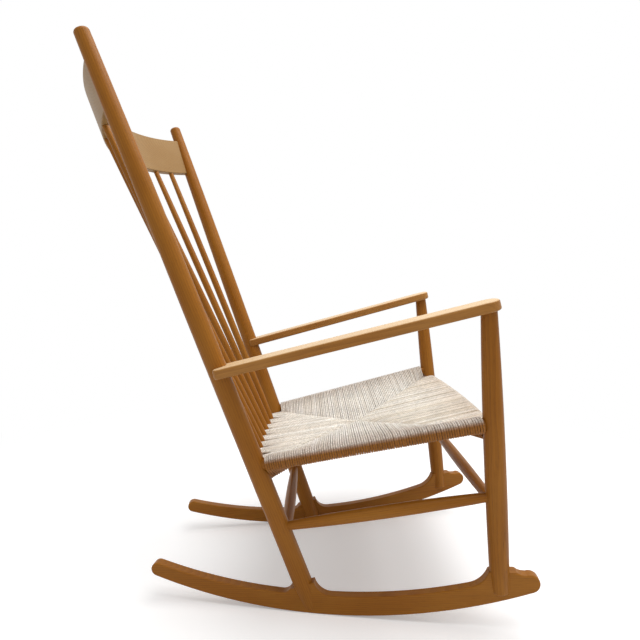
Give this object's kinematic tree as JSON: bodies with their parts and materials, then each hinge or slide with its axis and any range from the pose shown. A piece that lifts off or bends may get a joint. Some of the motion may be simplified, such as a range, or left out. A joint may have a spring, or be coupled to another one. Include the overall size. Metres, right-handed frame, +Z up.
{
  "type": "rocking chair",
  "caption": "Wooden rocking chair with turned legs, a spindle back under a bowed crest rail, flat arms and a dished seat woven from paper cord.",
  "frame": {"origin": "on the floor under the middle of the chair's box, with the rockers' low points on the floor", "axes": "+Z up, +X to the sitter's left, +Y to the back of the chair, so that the sitter faces -Y"},
  "size_m": [0.6196, 0.8736, 1.0689],
  "materials": {
    "frame_wood": "oiled, satin",
    "dowel_wood": "bare, planed",
    "seat_cord": "twisted paper cord, matte"
  },
  "bodies": {
    "root": {"left_rocker": "frame_wood", "left_back_leg": "frame_wood", "left_front_leg": "frame_wood", "left_arm": "frame_wood", "left_side_stretcher": "frame_wood", "left_seat_rail": "frame_wood", "right_rocker": "frame_wood", "right_back_leg": "frame_wood", "right_front_leg": "frame_wood", "right_arm": "frame_wood", "right_side_stretcher": "frame_wood", "right_seat_rail": "frame_wood", "front_stretcher": "frame_wood", "back_stretcher": "frame_wood", "front_seat_rail": "frame_wood", "back_seat_rail": "frame_wood", "crest_rail": "frame_wood", "spindle_1": "frame_wood", "spindle_2": "frame_wood", "spindle_3": "frame_wood", "spindle_4": "frame_wood", "spindle_5": "frame_wood", "spindle_6": "frame_wood", "spindle_7": "frame_wood", "woven_seat": "seat_cord", "arm_dowels": "dowel_wood", "crest_pins": "dowel_wood"}
  },
  "joints": []
}
